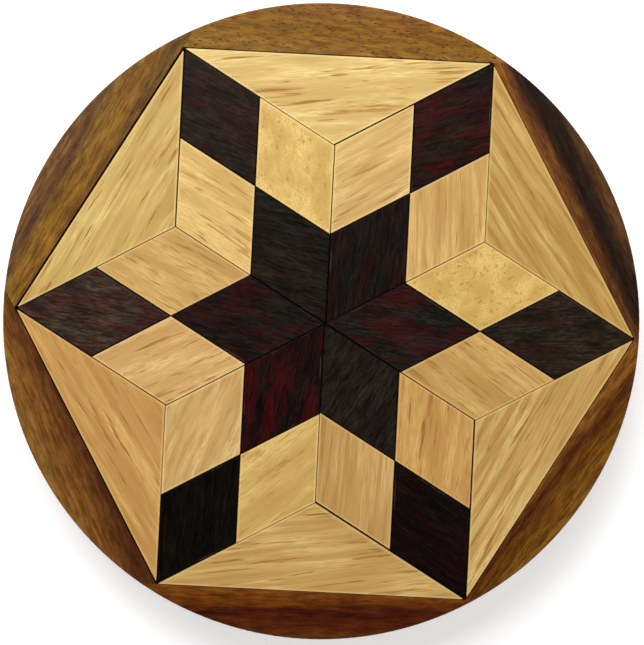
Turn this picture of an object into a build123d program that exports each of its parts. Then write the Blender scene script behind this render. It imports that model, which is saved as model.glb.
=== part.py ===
from build123d import *
import os
import random
from math import cos, hypot, radians, sin, sqrt

# Star tray puzzle.  A round wooden tray has a hexagonal recess, and thirty loose tiles fill the recess and
# make a six-pointed star: 24 rhombi in six arms, and six flat triangles between the arms' tips.
#
# Millimetres, +Z up.  The origin is the centre of the underside.  Arm 1 of the star points along +X, and
# arms, triangles and rim segments are numbered counter-clockwise from there.  Triangle 1 and rim segment 1
# lie between arms 1 and 2.

# ---------------------------------------------------------------- driving dimensions

# tray
disc_diameter = 150.0       # round outline of the base disc and the rim
base_thickness = 8.0        # board under the tiles
rim_height = 10.0           # rim above the base disc, which is also the depth of the recess
corner_wall = 1.9           # rim outside the recess's corners, if the recess were central
recess_shift = (0.8, -0.5)  # the recess is cut this far off the disc's centre, along X and Y
rim_round = 0.8             # rounding of the rim's outer top edge
foot_round = 1.0            # rounding of the base disc's bottom edge

# tiles
tile_thickness = 10.0       # flush with the rim
tile_seam = 0.17            # gap between neighbouring tiles when they are spread evenly
rim_play = 0.14             # room between the pattern of tiles and each wall of the recess
edge_ease = 0.12            # sanded edges of the tiles and of the recess's mouth

# How the loose tiles lie: each arm's four tiles have slid together, and each triangle by itself, so most
# seams are nearly closed and the play has gathered in a few.  As shares of a seam: (outwards, to the left).
arm_drifts = [(1.0, 0.0), (1.0, -1.5), (-1.5, -1.25), (-1.5, 0.25), (1.0, 0.5), (-1.0, 0.0)]
triangle_drifts = [(0.75, -1.25), (0.0, 0.0), (-1.5, 0.0), (-0.5, 0.0), (0.75, -0.5), (0.25, 0.5)]
askew = 0.05                # largest turn of a rhombus in its place, degrees
askew_triangle = 0.02       # the same for a triangle, which is longer

# ---------------------------------------------------------------- derived sizes

disc_radius = disc_diameter / 2
recess_corner_radius = disc_radius - corner_wall
recess_apothem = recess_corner_radius * cos(radians(30))

# The pattern is a lattice of 60-degree rhombi: an arm is two cells by two, so the recess is six cells across.
tile_pitch = (recess_apothem - rim_play) / 3
half_long = tile_pitch * cos(radians(30))
half_short = tile_pitch / 2
thinnest_wall = corner_wall - hypot(*recess_shift)
outer_round = min(rim_round, 0.6 * thinnest_wall)

sides = 6
turn = 360 / sides
placing = random.Random(11)


def recess_corner(number):
    """Corner of the recess, in the plane, counted counter-clockwise from +X."""
    angle = radians(turn * number)
    return (
        recess_shift[0] + recess_corner_radius * cos(angle),
        recess_shift[1] + recess_corner_radius * sin(angle),
    )


def beyond(start, through, distance):
    """Point on the line from start through another point, at a distance from start."""
    length = sqrt((through[0] - start[0]) ** 2 + (through[1] - start[1]) ** 2)
    share = distance / length
    return (
        start[0] + (through[0] - start[0]) * share,
        start[1] + (through[1] - start[1]) * share,
    )


def tile_plane(heading, outwards, leftwards, drift, largest_turn):
    """Plane on the recess floor at a tile's centre, with its x along the heading, as the tile lies."""
    ahead = Vector(cos(radians(heading)), sin(radians(heading)))
    left = Vector(-sin(radians(heading)), cos(radians(heading)))
    place = ahead * (outwards + drift[0] * tile_seam) + left * (leftwards + drift[1] * tile_seam)
    lie = radians(heading + placing.uniform(-largest_turn, largest_turn))
    return Plane(
        origin=(recess_shift[0] + place.X, recess_shift[1] + place.Y, base_thickness),
        x_dir=(cos(lie), sin(lie), 0),
        z_dir=(0, 0, 1),
    )


def build_tile(name, plane, outline):
    """One loose tile: its lattice cell, less half a seam all round, with every edge sanded."""
    with BuildPart() as tile:
        with BuildSketch(plane):
            with BuildLine():
                Polyline(*outline, close=True)
            make_face()
            offset(amount=-tile_seam / 2, kind=Kind.INTERSECTION)
        extrude(amount=tile_thickness)
        fillet(tile.edges(), edge_ease)
    tile.part.label = name
    export_step(tile.part, f"parts/{name}.step")


os.makedirs("parts", exist_ok=True)

# ---------------------------------------------------------------- base disc

with BuildPart() as base_disc:
    with BuildSketch():
        Circle(disc_radius)
    extrude(amount=base_thickness)
    fillet(base_disc.edges().group_by(Axis.Z)[0], foot_round)
base_disc.part.label = "base_disc"
export_step(base_disc.part, "parts/base_disc.step")

# ---------------------------------------------------------------- rim segments

# The whole rim in one piece, with its outer and inner top edges worked, before it is divided.
with BuildPart() as rim:
    with BuildSketch(Plane.XY.offset(base_thickness)):
        Circle(disc_radius)
        with Locations(recess_shift):
            RegularPolygon(recess_corner_radius, sides, mode=Mode.SUBTRACT)
    extrude(amount=rim_height)
    fillet(rim.edges().group_by(Axis.Z)[-1].filter_by(GeomType.CIRCLE), outer_round)
    fillet(rim.edges().group_by(Axis.Z)[-1].filter_by(GeomType.LINE), edge_ease)

# Each segment is the rim inside a 60-degree wedge with its point on a corner of the recess.  One side of
# the wedge runs along the segment's own wall of the recess and on past the next corner to the outside.
# The other side carries on the line of the neighbour's wall, so the six segments meet in a pinwheel.
for number in range(sides):
    point = recess_corner(number + 1)
    along_own_wall = beyond(point, recess_corner(number), 2 * disc_diameter)
    next_corner = recess_corner(number + 2)
    away_from_next = (2 * point[0] - next_corner[0], 2 * point[1] - next_corner[1])
    along_next_wall = beyond(point, away_from_next, 2 * disc_diameter)
    with BuildPart() as segment:
        add(rim.part)
        with BuildSketch(Plane.XY.offset(base_thickness)):
            with BuildLine():
                Polyline(point, along_own_wall, along_next_wall, close=True)
            make_face()
        extrude(amount=rim_height, mode=Mode.INTERSECT)
    segment.part.label = f"rim_segment_{number + 1}"
    export_step(segment.part, f"parts/rim_segment_{number + 1}.step")

# ---------------------------------------------------------------- tiles

# A cell with its long diagonal along x, and its place in an arm: (outwards, to the left) from the middle.
rhombus = [(half_long, 0), (0, half_short), (-half_long, 0), (0, -half_short)]
arm_cells = {
    "inner_dark_tile": (half_long, 0),
    "right_light_tile": (2 * half_long, -half_short),
    "left_light_tile": (2 * half_long, half_short),
    "outer_dark_tile": (3 * half_long, 0),
}

# A triangle one pitch high, with its long side two pitches of the lattice's corner radius, on the rim.
half_base = sqrt(3) * tile_pitch
triangle = [(tile_pitch / 3, half_base), (-tile_pitch * 2 / 3, 0), (tile_pitch / 3, -half_base)]
triangle_centre = tile_pitch * (2 + 2 / 3)

for number in range(sides):
    arm_heading = turn * number
    for kind, (outwards, leftwards) in arm_cells.items():
        cell = tile_plane(arm_heading, outwards, leftwards, arm_drifts[number], askew)
        build_tile(f"{kind}_{number + 1}", cell, rhombus)
    side_heading = arm_heading + turn / 2
    gap = tile_plane(side_heading, triangle_centre, 0, triangle_drifts[number], askew_triangle)
    build_tile(f"edge_triangle_{number + 1}", gap, triangle)
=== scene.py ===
import math

import bpy
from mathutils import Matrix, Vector


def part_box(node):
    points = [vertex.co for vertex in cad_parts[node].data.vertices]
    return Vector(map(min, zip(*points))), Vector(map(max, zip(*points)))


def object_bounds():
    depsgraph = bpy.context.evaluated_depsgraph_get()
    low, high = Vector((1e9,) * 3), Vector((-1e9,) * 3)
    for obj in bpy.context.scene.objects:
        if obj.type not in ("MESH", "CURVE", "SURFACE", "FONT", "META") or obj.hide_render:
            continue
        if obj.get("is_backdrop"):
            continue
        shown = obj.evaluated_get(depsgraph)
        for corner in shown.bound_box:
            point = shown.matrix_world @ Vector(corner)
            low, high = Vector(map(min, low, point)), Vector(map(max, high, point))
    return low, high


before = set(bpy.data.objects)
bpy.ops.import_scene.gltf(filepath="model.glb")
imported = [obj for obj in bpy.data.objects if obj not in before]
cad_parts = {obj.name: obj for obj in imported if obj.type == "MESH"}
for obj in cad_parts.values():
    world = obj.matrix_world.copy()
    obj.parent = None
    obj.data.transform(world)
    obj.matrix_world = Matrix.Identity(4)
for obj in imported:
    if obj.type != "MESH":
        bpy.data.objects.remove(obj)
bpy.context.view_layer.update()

# The looks of a star tray puzzle: a round tray with a hexagonal recess and thirty loose tiles in it.
# Every shape comes from the frame.  This script gives each piece its own wood, and makes the floor, the
# lights and the camera.  Lengths inside the wood materials are in millimetres, all others in metres.

MM = 0.001
ARMS = 6
TURN = 360 / ARMS           # degrees from one arm of the star to the next
BAND_REACH = 12.0           # millimetres from the recess's wall that a rim segment's bands of colour cover

# ---------------------------------------------------------------- node helpers


class Graph:
    """The node tree of one material.  An input is given as a socket or as a plain value."""

    def __init__(self, name):
        self.material = bpy.data.materials.new(name)
        self.material.use_nodes = True
        self.tree = self.material.node_tree
        self.tree.nodes.clear()

    def put(self, socket, value):
        """Links a socket to the input, or sets the input to a plain value."""
        if isinstance(value, bpy.types.NodeSocket):
            self.tree.links.new(value, socket)
        else:
            socket.default_value = value

    def node(self, kind, inputs=None, **settings):
        made = self.tree.nodes.new(kind)
        for setting, value in settings.items():
            setattr(made, setting, value)
        for key, value in (inputs or {}).items():
            self.put(made.inputs[key], value)
        return made

    def math(self, operation, a, b=0.0, clamp=False):
        return self.node("ShaderNodeMath", {0: a, 1: b}, operation=operation, use_clamp=clamp).outputs[0]

    def add(self, a, b):
        return self.math("ADD", a, b)

    def times(self, a, b):
        return self.math("MULTIPLY", a, b)

    def vector(self, operation, a, b):
        return self.node("ShaderNodeVectorMath", {0: a, 1: b}, operation=operation).outputs[0]

    def dot(self, a, b):
        return self.node("ShaderNodeVectorMath", {0: a, 1: b}, operation="DOT_PRODUCT").outputs["Value"]

    def ease(self, value, low, high, start=0.0, end=1.0):
        """Smooth step of value from low to high, giving start to end."""
        made = self.node("ShaderNodeMapRange", interpolation_type="SMOOTHSTEP")
        for key, given in zip(range(5), (value, low, high, start, end)):
            self.put(made.inputs[key], given)
        return made.outputs[0]

    def mix(self, share, a, b, blend="MIX"):
        made = self.node("ShaderNodeMix", data_type="RGBA", blend_type=blend)
        for key, given in ((0, share), (6, a), (7, b)):
            self.put(made.inputs[key], given)
        return made.outputs[2]

    def noise(self, place, detail=2.0, roughness=0.5):
        inputs = {"Vector": place, "Scale": 1.0, "Detail": detail, "Roughness": roughness}
        return self.node("ShaderNodeTexNoise", inputs)

    def cells(self, place):
        return self.node("ShaderNodeTexVoronoi", {"Vector": place, "Scale": 1.0})

    def stretch(self, place, along, across, shift=0.0):
        """The place in cells that are along by across by across millimetres, moved by shift cells."""
        size = (1 / along, 1 / across, 1 / across)
        sized = self.vector("MULTIPLY", place, size)
        return self.vector("ADD", sized, (shift, 1.7 * shift, 2.3 * shift))

    def finish(self, colour, roughness, height, depth, specular, glow=0.0):
        """The shader, with height from 0 to 1 as a relief of depth millimetres."""
        bump = self.node("ShaderNodeBump", {"Strength": 1.0, "Distance": depth * MM, "Height": height})
        shader = self.node("ShaderNodeBsdfPrincipled", {"Base Color": colour, "Roughness": roughness})
        shader.inputs["Specular IOR Level"].default_value = specular
        shader.inputs["Emission Color"].default_value = (1.0, 1.0, 1.0, 1.0)
        shader.inputs["Emission Strength"].default_value = glow
        self.put(shader.inputs["Normal"], bump.outputs[0])
        output = self.node("ShaderNodeOutputMaterial")
        self.tree.links.new(shader.outputs[0], output.inputs[0])
        return self.material


def linear(colour):
    """A colour as seen on a screen, 0 to 255, as the linear colour that a shader takes."""
    out = []
    for part in colour:
        share = part / 255
        out.append(share / 12.92 if share <= 0.04045 else ((share + 0.055) / 1.055) ** 2.4)
    return (*out, 1.0)


def shade(colour, factors):
    """A linear colour with each of its channels scaled."""
    return tuple(c * f for c, f in zip(colour, factors)) + (1.0,)


def flat(angle):
    """Unit vector in the plane of the tray, at an angle in degrees from +X."""
    return Vector((math.cos(math.radians(angle)), math.sin(math.radians(angle)), 0))


# ---------------------------------------------------------------- places on a piece


def grain_place(graph, centre, azimuth, dive, roll=0.0):
    """Millimetres along, across and below the grain, from the piece's centre."""
    own = graph.node("ShaderNodeTexCoord").outputs["Object"]
    mapping = graph.node("ShaderNodeMapping", {"Vector": own}, vector_type="TEXTURE")
    mapping.inputs["Location"].default_value = centre
    turns = [math.radians(angle) for angle in (roll, dive, azimuth)]
    mapping.inputs["Rotation"].default_value = turns
    mapping.inputs["Scale"].default_value = (MM, MM, MM)
    return mapping.outputs[0]


def wander(graph, place, amount, along, across, shift):
    """The place moved across the grain by up to about amount, so that the fibres aren't dead straight."""
    drift = graph.noise(graph.stretch(place, along, across, shift), 1.0).outputs["Color"]
    centred = graph.vector("SUBTRACT", drift, (0.5, 0.5, 0.5))
    moved = graph.vector("MULTIPLY", centred, (0, 2 * amount, 2 * amount))
    return graph.vector("ADD", place, moved)


def edge_distance(graph, node, side_angles):
    """Millimetres from the nearest top or bottom edge of an upright prism whose sides face these angles."""
    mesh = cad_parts[node].data
    own = graph.node("ShaderNodeTexCoord").outputs["Object"]
    low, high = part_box(node)
    nearest = None
    for angle in side_angles:
        facing = flat(angle)
        reach = max(vertex.co.dot(facing) for vertex in mesh.vertices)
        inside = graph.math("SUBTRACT", reach, graph.dot(own, facing))
        nearest = inside if nearest is None else graph.math("MINIMUM", nearest, inside)
    height = graph.dot(own, (0, 0, 1))
    below_top = graph.math("SUBTRACT", high.z, height)
    above_bottom = graph.math("SUBTRACT", height, low.z)
    upright = graph.math("MINIMUM", below_top, above_bottom)
    return graph.times(graph.math("MAXIMUM", nearest, upright), 1 / MM)


# ---------------------------------------------------------------- woods


def light_wood(node, sides, look, seed):
    """Yellow hardwood with clouds, stripes and brown streaks.  A steep dive turns the streaks into dots."""
    azimuth, dive, tone, streaks, stripes = look
    low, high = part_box(node)
    graph = Graph(f"{node}_wood")
    straight = grain_place(graph, (low + high) / 2, azimuth, dive)
    place = wander(graph, straight, 0.9, 35, 9, seed)

    base = linear(tone)[:3]
    cloud = graph.noise(graph.stretch(place, 26, 4.5, seed), 3.0).outputs[0]
    paler, deeper = shade(base, (1.16, 1.20, 1.26)), shade(base, (0.84, 0.77, 0.66))
    colour = graph.mix(graph.ease(cloud, 0.34, 0.66), paler, deeper)

    stripe = graph.noise(graph.stretch(place, 80, 1.6, seed + 3), 3.0, 0.6).outputs[0]
    striped = graph.times(graph.ease(stripe, 0.42, 0.62), stripes)
    colour = graph.mix(striped, colour, shade(base, (0.68, 0.53, 0.38)))

    fibre = graph.noise(graph.stretch(place, 6, 0.24, seed + 5), 3.0, 0.6).outputs[0]
    colour = graph.mix(graph.ease(fibre, 0.62, 0.35, 0.0, 0.75), colour, shade(base, (0.80, 0.71, 0.60)))

    # Vessels lie in long streaks, thick in some places and absent in others, each with darker stretches.
    crowd = graph.noise(graph.stretch(place, 30, 3.0, seed + 7), 2.0).outputs[0]
    crowded = graph.ease(crowd, 0.38, 0.52)
    vessel = graph.noise(graph.stretch(place, 22, 0.80, seed + 9), 2.0, 0.5).outputs[0]
    streak = graph.times(graph.ease(vessel, 0.56, 0.66), crowded)
    colour = graph.mix(graph.times(streak, streaks), colour, shade(base, (0.66, 0.47, 0.31)))
    short = graph.noise(graph.stretch(place, 9, 0.6, seed + 11), 2.0).outputs[0]
    core = graph.times(graph.ease(short, 0.52, 0.62), graph.ease(vessel, 0.57, 0.64))
    colour = graph.mix(graph.times(core, 0.8 * streaks), colour, shade(base, (0.44, 0.29, 0.17)))
    fleck = graph.cells(graph.stretch(place, 3.4, 0.5, seed + 13))
    here = graph.times(graph.ease(fleck.outputs["Color"], 0.4, 0.85), graph.ease(crowd, 0.42, 0.6))
    mark = graph.times(graph.ease(fleck.outputs["Distance"], 0.34, 0.12), here)
    colour = graph.mix(graph.times(mark, 0.6 * streaks), colour, shade(base, (0.54, 0.38, 0.25)))

    # A painted highlight makes the edges pale, and a painted shade of the seams darkens the very corner.
    edge = edge_distance(graph, node, sides)
    highlight_edge = graph.add(edge, graph.times(cloud, -0.3))
    colour = graph.mix(graph.ease(highlight_edge, 0.50, 0.05, 0.0, 0.45), colour, shade(base, (1.22, 1.32, 1.6)))
    colour = graph.mix(graph.ease(edge, 0.13, 0.05, 0.0, 0.6), colour, shade(base, (0.42, 0.30, 0.18)))

    pits = graph.math("MAXIMUM", core, graph.times(mark, 0.5))
    roughness = graph.add(graph.ease(fibre, 0.2, 0.8, 0.40, 0.52), graph.times(pits, 0.15))
    height = graph.math("SUBTRACT", graph.times(fibre, 0.25), graph.times(pits, 0.75))
    return graph.finish(colour, roughness, height, depth=0.03, specular=0.25)


def dark_wood(node, sides, look, seed):
    """Near-black hardwood, mottled and faintly clouded, with short red streaks in patches."""
    azimuth, dive, tone, red = look
    low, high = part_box(node)
    graph = Graph(f"{node}_wood")
    straight = grain_place(graph, (low + high) / 2, azimuth, dive)
    place = wander(graph, straight, 0.6, 16, 6, seed)

    base = linear(tone)[:3]
    streak = graph.noise(graph.stretch(place, 10, 0.5, seed), 4.0, 0.65).outputs[0]
    blacker, paler = shade(base, (0.6, 0.58, 0.6)), shade(base, (1.45, 1.45, 1.35))
    colour = graph.mix(graph.ease(streak, 0.34, 0.66), blacker, paler)
    cloud = graph.noise(graph.stretch(place, 7, 3.0, seed + 13), 3.0, 0.6).outputs[0]
    clouded = graph.mix(graph.ease(cloud, 0.35, 0.65), (0.65, 0.65, 0.65, 1.0), (1.35, 1.35, 1.35, 1.0))
    colour = graph.mix(1.0, colour, clouded, "MULTIPLY")
    speckle = graph.noise(graph.stretch(place, 1.6, 0.45, seed + 9), 3.0, 0.6).outputs[0]
    speckled = graph.mix(graph.ease(speckle, 0.35, 0.65), (0.65, 0.65, 0.65, 1.0), (1.35, 1.35, 1.35, 1.0))
    colour = graph.mix(1.0, colour, speckled, "MULTIPLY")

    patch = graph.noise(graph.stretch(place, 11, 3.6, seed + 3), 3.0).outputs[0]
    brushed = graph.noise(graph.stretch(place, 5, 0.4, seed + 5), 4.0, 0.65).outputs[0]
    reddish = graph.times(graph.ease(patch, 0.36, 0.64), graph.ease(brushed, 0.32, 0.64))
    colour = graph.mix(graph.times(reddish, red), colour, linear((76, 2, 7)))

    # Fine scratch lines, sunk into the relief, with a painted sheen in their pale grey-green.
    hair = graph.cells(graph.stretch(place, 6.0, 0.34, seed + 7))
    hair_here = graph.ease(hair.outputs["Color"], 0.5, 0.9)
    line = graph.times(graph.ease(hair.outputs["Distance"], 0.34, 0.1), hair_here)
    colour = graph.mix(graph.times(line, 0.2), colour, linear((52, 58, 50)))

    # A painted shade of the seams makes the edges black, and a painted glint makes a faint pale line just
    # inside a few stretches of them.
    edge = edge_distance(graph, node, sides)
    glint_stretches = graph.noise(graph.stretch(straight, 9, 9, seed + 11), 2.0).outputs[0]
    beside = graph.times(graph.ease(edge, 0.55, 0.35), graph.ease(edge, 0.15, 0.3))
    painted_glint = graph.times(beside, graph.ease(glint_stretches, 0.55, 0.68))
    colour = graph.mix(graph.times(painted_glint, 0.6), colour, linear((74, 64, 56)))
    colour = graph.mix(graph.ease(edge, 0.30, 0.12, 0.0, 0.85), colour, linear((6, 4, 4)))

    roughness = graph.ease(streak, 0.25, 0.75, 0.26, 0.38)
    height = graph.math("SUBTRACT", graph.times(streak, 0.5), graph.times(line, 0.5))
    return graph.finish(colour, roughness, height, depth=0.02, specular=0.1)


def rim_wood(node, number, look, seed):
    """Brown hardwood, its colour in bands from the recess's wall to the outside, with dark pores."""
    slant, wobble, bands, streaks, pores = look
    heading = TURN * (number - 0.5)
    outwards = flat(heading)
    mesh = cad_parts[node].data
    wall = min(vertex.co.dot(outwards) for vertex in mesh.vertices)
    graph = Graph(f"{node}_wood")
    straight = grain_place(graph, outwards * wall, heading + 90 + slant, 4.0)
    place = wander(graph, straight, 0.8, 26, 6, seed)

    # The band coordinate is the distance outwards from the recess's wall, and the grain pulls it about.
    own = graph.node("ShaderNodeTexCoord").outputs["Object"]
    beyond = graph.times(graph.math("SUBTRACT", graph.dot(own, outwards), wall), 1 / MM)
    along = graph.times(graph.dot(own, flat(heading + 90)), 1 / MM)
    swirl = graph.noise(graph.stretch(straight, 26, 3.2, seed + 2), 3.0, 0.55).outputs[0]
    pulled = graph.add(beyond, graph.times(graph.math("SUBTRACT", swirl, 0.5), wobble))
    pulled = graph.add(pulled, graph.times(along, math.tan(math.radians(slant))))
    ramp = graph.node("ShaderNodeValToRGB", {"Fac": graph.times(pulled, 1 / BAND_REACH)})
    ramp.color_ramp.interpolation = "EASE"
    stops = ramp.color_ramp.elements
    while len(stops) < len(bands):
        stops.new(0.5)
    for stop, (at, tone) in zip(stops, bands):
        stop.position = at / BAND_REACH
        stop.color = linear(tone)
    colour = ramp.outputs[0]

    streak = graph.noise(graph.stretch(place, 11, 0.6, seed + 4), 5.0, 0.66).outputs[0]
    darker = [1 - streaks * part for part in (0.55, 0.62, 0.68)]
    paler = [1 + streaks * part for part in (0.55, 0.55, 0.45)]
    strength = graph.mix(graph.ease(streak, 0.32, 0.68), (*darker, 1.0), (*paler, 1.0))
    colour = graph.mix(1.0, colour, strength, "MULTIPLY")

    mottle = graph.noise(graph.stretch(place, 5, 1.3, seed + 10), 5.0, 0.7).outputs[0]
    patchy = graph.mix(graph.ease(mottle, 0.36, 0.64), (0.74, 0.66, 0.62, 1.0), (1.26, 1.30, 1.20, 1.0))
    colour = graph.mix(1.0, colour, patchy, "MULTIPLY")

    cell = graph.cells(graph.stretch(place, 1.8, 0.45, seed + 6))
    here = graph.ease(cell.outputs["Color"], 0.25, 0.5)
    pore = graph.times(graph.ease(cell.outputs["Distance"], 0.34, 0.16), here)
    colour = graph.mix(graph.times(pore, pores), colour, linear((40, 28, 14)))

    fibre = graph.noise(graph.stretch(place, 5, 0.15, seed + 8), 2.0).outputs[0]
    roughness = graph.add(graph.ease(fibre, 0.2, 0.8, 0.32, 0.44), graph.times(pore, 0.15))
    height = graph.math("SUBTRACT", graph.times(fibre, 0.3), graph.times(pore, 0.7))
    return graph.finish(colour, roughness, height, depth=0.03, specular=0.12)


def board_wood(node):
    """The plain brown board under the tiles, its grain along +X."""
    graph = Graph(f"{node}_wood")
    low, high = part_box(node)
    straight = grain_place(graph, (low + high) / 2, 4.0, 2.0)
    place = wander(graph, straight, 2.5, 60, 20, 5.0)
    ring = graph.noise(graph.stretch(place, 150, 4.5, 1.0), 4.0, 0.6).outputs[0]
    colour = graph.mix(graph.ease(ring, 0.35, 0.68), linear((148, 98, 46)), linear((92, 52, 22)))
    cell = graph.cells(graph.stretch(place, 4.0, 0.8, 3.0))
    here = graph.ease(cell.outputs["Color"], 0.45, 0.85)
    pore = graph.times(graph.ease(cell.outputs["Distance"], 0.27, 0.12), here)
    colour = graph.mix(graph.times(pore, 0.6), colour, linear((46, 28, 16)))
    fibre = graph.noise(graph.stretch(place, 6, 0.18, 7.0), 2.0).outputs[0]
    roughness = graph.add(graph.ease(fibre, 0.2, 0.8, 0.42, 0.56), graph.times(pore, 0.15))
    height = graph.math("SUBTRACT", graph.times(fibre, 0.3), graph.times(pore, 0.7))
    return graph.finish(colour, roughness, height, depth=0.03, specular=0.2)


# ---------------------------------------------------------------- how each piece looks

# The colours below are as seen on a screen, 0 to 255.  Directions of the grain are in
# degrees counter-clockwise from +X, and a dive is how steeply the grain runs down into the piece.

# Light tiles: direction and dive of the grain, colour, strength of the brown streaks and of the stripes.
LIGHT_LOOKS = {
    "right_light_tile_1": (-34, 5, (210, 170, 100), 0.75, 0.4),
    "right_light_tile_2": (-87, 3, (220, 180, 110), 0.45, 0.6),
    "right_light_tile_3": (-80, 42, (230, 195, 115), 0.4, 0.1),
    "right_light_tile_4": (-27, 5, (215, 175, 105), 0.6, 0.25),
    "right_light_tile_5": (68, 8, (225, 190, 125), 0.1, 0.9),
    "right_light_tile_6": (88, 2, (210, 170, 105), 0.4, 0.8),
    "left_light_tile_1": (38, 55, (225, 190, 110), 0.55, 0.1),
    "left_light_tile_2": (32, 4, (230, 195, 125), 0.6, 0.6),
    "left_light_tile_3": (-30, 5, (230, 195, 120), 0.75, 0.3),
    "left_light_tile_4": (26, 5, (225, 185, 120), 0.85, 0.4),
    "left_light_tile_5": (42, 6, (220, 185, 110), 0.5, 0.3),
    "left_light_tile_6": (86, 4, (210, 165, 95), 0.85, 0.4),
    "edge_triangle_1": (-55, 2, (210, 175, 100), 0.6, 1.0),
    "edge_triangle_2": (6, 3, (235, 205, 130), 1.0, 0.5),
    "edge_triangle_3": (62, 3, (220, 190, 115), 0.9, 0.6),
    "edge_triangle_4": (-56, 3, (215, 170, 100), 0.9, 0.7),
    "edge_triangle_5": (9, 2, (215, 180, 110), 1.0, 0.7),
    "edge_triangle_6": (63, 2, (215, 180, 110), 1.0, 1.0),
}

# Dark tiles: direction and dive of the grain, colour, and how red their patches are.
DARK_LOOKS = {
    "inner_dark_tile_1": (-4, 4, (26, 24, 20), 0.55),
    "inner_dark_tile_2": (84, 3, (18, 16, 12), 0.2),
    "inner_dark_tile_3": (-14, 3, (26, 22, 16), 0.1),
    "inner_dark_tile_4": (-12, 5, (22, 18, 14), 0.35),
    "inner_dark_tile_5": (80, 6, (20, 10, 8), 0.85),
    "inner_dark_tile_6": (62, 4, (28, 24, 18), 0.1),
    "outer_dark_tile_1": (4, 4, (36, 32, 24), 0.2),
    "outer_dark_tile_2": (20, 5, (28, 18, 12), 0.65),
    "outer_dark_tile_3": (-22, 4, (32, 26, 18), 0.3),
    # Painted sheen: the colour of outer_dark_tile_4 is paler than its wood, and those of tiles 5 and 6 are
    # darker.
    "outer_dark_tile_4": (-6, 5, (54, 44, 36), 0.45),
    "outer_dark_tile_5": (88, 3, (12, 8, 4), 0.0),
    "outer_dark_tile_6": (-30, 4, (12, 8, 6), 0.15),
}

# Rim segments: slant of the grain from the recess's wall in degrees, how far the bands wobble in
# millimetres, the bands as (millimetres outwards from the wall, colour), streaks and pores.
RIM_LOOKS = {
    "rim_segment_1": (
        -2, 6.0,
        [(0, (125, 75, 30)), (1.5, (100, 60, 25)), (3, (55, 30, 15)), (4.5, (30, 20, 10)),
         (6.5, (40, 25, 15)), (10, (90, 60, 30))],
        0.6, 0.15,
    ),
    "rim_segment_2": (-3, 6.0, [(0, (140, 100, 40)), (5, (130, 90, 25)), (11, (135, 90, 35))], 0.3, 0.85),
    "rim_segment_3": (
        3, 6.0,
        [(0, (105, 75, 30)), (3, (130, 90, 30)), (6.5, (125, 90, 35)), (9, (95, 65, 40)),
         (11, (115, 80, 45))],
        0.6, 0.2,
    ),
    "rim_segment_4": (
        -4, 6.0,
        [(0, (75, 40, 15)), (2.5, (95, 55, 20)), (5.5, (120, 75, 30)), (11, (130, 90, 40))],
        0.5, 0.2,
    ),
    "rim_segment_5": (
        2, 5.0,
        [(0, (115, 65, 15)), (2.5, (100, 50, 5)), (4.5, (65, 20, 5)), (7.5, (80, 30, 5)),
         (11, (90, 45, 10))],
        0.6, 0.1,
    ),
    "rim_segment_6": (
        -4, 6.0,
        [(0, (120, 75, 25)), (2, (80, 40, 10)), (5, (100, 60, 10)), (8.5, (115, 75, 20)),
         (11, (120, 80, 25))],
        0.75, 0.2,
    ),
}

# Each piece takes its noise from a place of its own, one step on from the piece before.
FIRST_PLACE = 10.0
PLACE_STEP = 13.7

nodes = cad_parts
seed = FIRST_PLACE
for name in sorted(nodes):
    seed += PLACE_STEP
    if name in LIGHT_LOOKS or name in DARK_LOOKS:
        number = int(name[-1])
        heading = TURN * (number - 1)
        if name.startswith("edge_triangle"):
            side = heading + TURN / 2
            faces = (side, side + 150, side - 150)
        else:
            faces = (heading + 60, heading - 60, heading + 120, heading - 120)
        if name in LIGHT_LOOKS:
            wood = light_wood(name, faces, LIGHT_LOOKS[name], seed)
        else:
            wood = dark_wood(name, faces, DARK_LOOKS[name], seed)
    elif name in RIM_LOOKS:
        wood = rim_wood(name, int(name[-1]), RIM_LOOKS[name], seed)
    else:
        wood = board_wood(name)
    nodes[name].data.materials.clear()
    nodes[name].data.materials.append(wood)

# ---------------------------------------------------------------- floor

FLOOR_HALF = 3.0
floor_mesh = bpy.data.meshes.new("floor")
corners = [(x * FLOOR_HALF, y * FLOOR_HALF, 0) for x, y in ((-1, -1), (1, -1), (1, 1), (-1, 1))]
floor_mesh.from_pydata(corners, [], [(0, 1, 2, 3)])
floor = bpy.data.objects.new("floor", floor_mesh)
bpy.context.scene.collection.objects.link(floor)
paper = Graph("floor_paper")
speck = paper.noise(grain_place(paper, (0, 0, 0), 0, 0), 2.0).outputs[0]
sheet_colour = paper.mix(speck, (0.95, 0.95, 0.95, 1.0), (0.98, 0.98, 0.98, 1.0))
matt = paper.ease(speck, 0, 1, 0.8, 0.9)
floor_mesh.materials.append(paper.finish(sheet_colour, matt, speck, depth=0.01, specular=0.2, glow=0.42))
floor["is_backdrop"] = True

# ---------------------------------------------------------------- lights


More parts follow.
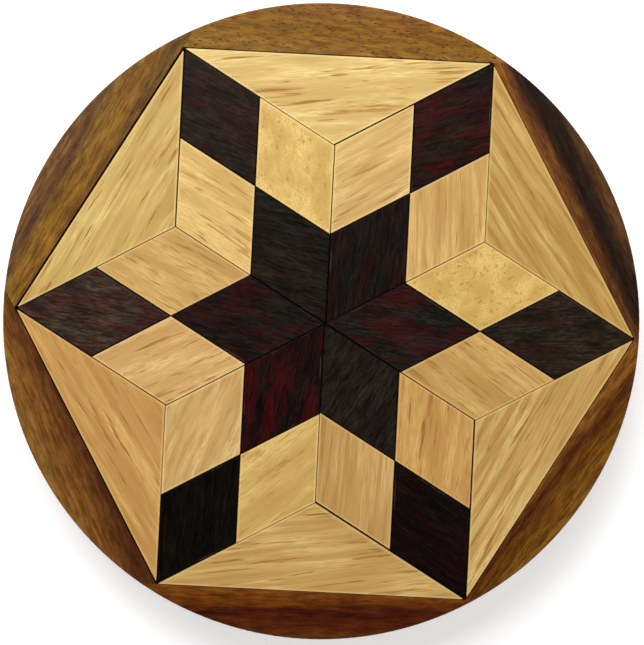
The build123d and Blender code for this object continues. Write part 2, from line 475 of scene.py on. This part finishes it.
def softbox(name, place, size, power):
    """A square area light that faces the middle of the tray."""
    data = bpy.data.lights.new(name, "AREA")
    data.shape = "SQUARE"
    data.size = size
    data.energy = power
    lamp = bpy.data.objects.new(name, data)
    lamp.location = place
    lamp.rotation_mode = "QUATERNION"
    lamp.rotation_quaternion = (-Vector(place)).to_track_quat("-Z", "Y")
    bpy.context.scene.collection.objects.link(lamp)


softbox("key_light", (-0.14, 0.42, 0.54), 0.5, 4.4)
softbox("fill_light", (0.5, -0.45, 0.5), 0.6, 1.0)

# The room is dim overhead, so the polished tops don't haze over, and brighter towards the walls.
world = bpy.data.worlds.new("studio")
world.use_nodes = True
room = world.node_tree
direction = room.nodes.new("ShaderNodeTexCoord")
parts = room.nodes.new("ShaderNodeSeparateXYZ")
fade = room.nodes.new("ShaderNodeMapRange")
fade.inputs["To Min"].default_value = 0.75
fade.inputs["To Max"].default_value = 0.08
room.links.new(direction.outputs["Generated"], parts.inputs[0])
room.links.new(parts.outputs["Z"], fade.inputs["Value"])
room.links.new(fade.outputs[0], room.nodes["Background"].inputs["Strength"])
room.nodes["Background"].inputs["Color"].default_value = (1.0, 1.0, 1.0, 1.0)
bpy.context.scene.world = world

# ---------------------------------------------------------------- camera

# Straight above the tray, rolled so that the first arm points right and a little down, and close enough
# for the round outline to fill the frame.
CAMERA_ROLL = 2.9
CAMERA_LENS = 100.0
SENSOR = 36.0               # width of the sensor, in millimetres as the lens is
FRAME_SPAN = 0.1518         # length of the frame's long side at the height of the tray's top
OFF_CENTRE = (0.0002, -0.0003)      # the camera stands this far from the tray's axis, along X and Y

tray_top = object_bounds()[1].z
camera_data = bpy.data.cameras.new("camera")
camera_data.lens = CAMERA_LENS
camera_data.sensor_width = SENSOR
camera = bpy.data.objects.new("camera", camera_data)
camera.location = (OFF_CENTRE[0], OFF_CENTRE[1], tray_top + FRAME_SPAN * CAMERA_LENS / SENSOR)
camera.rotation_euler = (0, 0, math.radians(CAMERA_ROLL))
camera_data.clip_start = 0.01
camera_data.clip_end = 20.0
bpy.context.scene.collection.objects.link(camera)
bpy.context.scene.camera = camera
bpy.context.scene.view_settings.view_transform = "Standard"
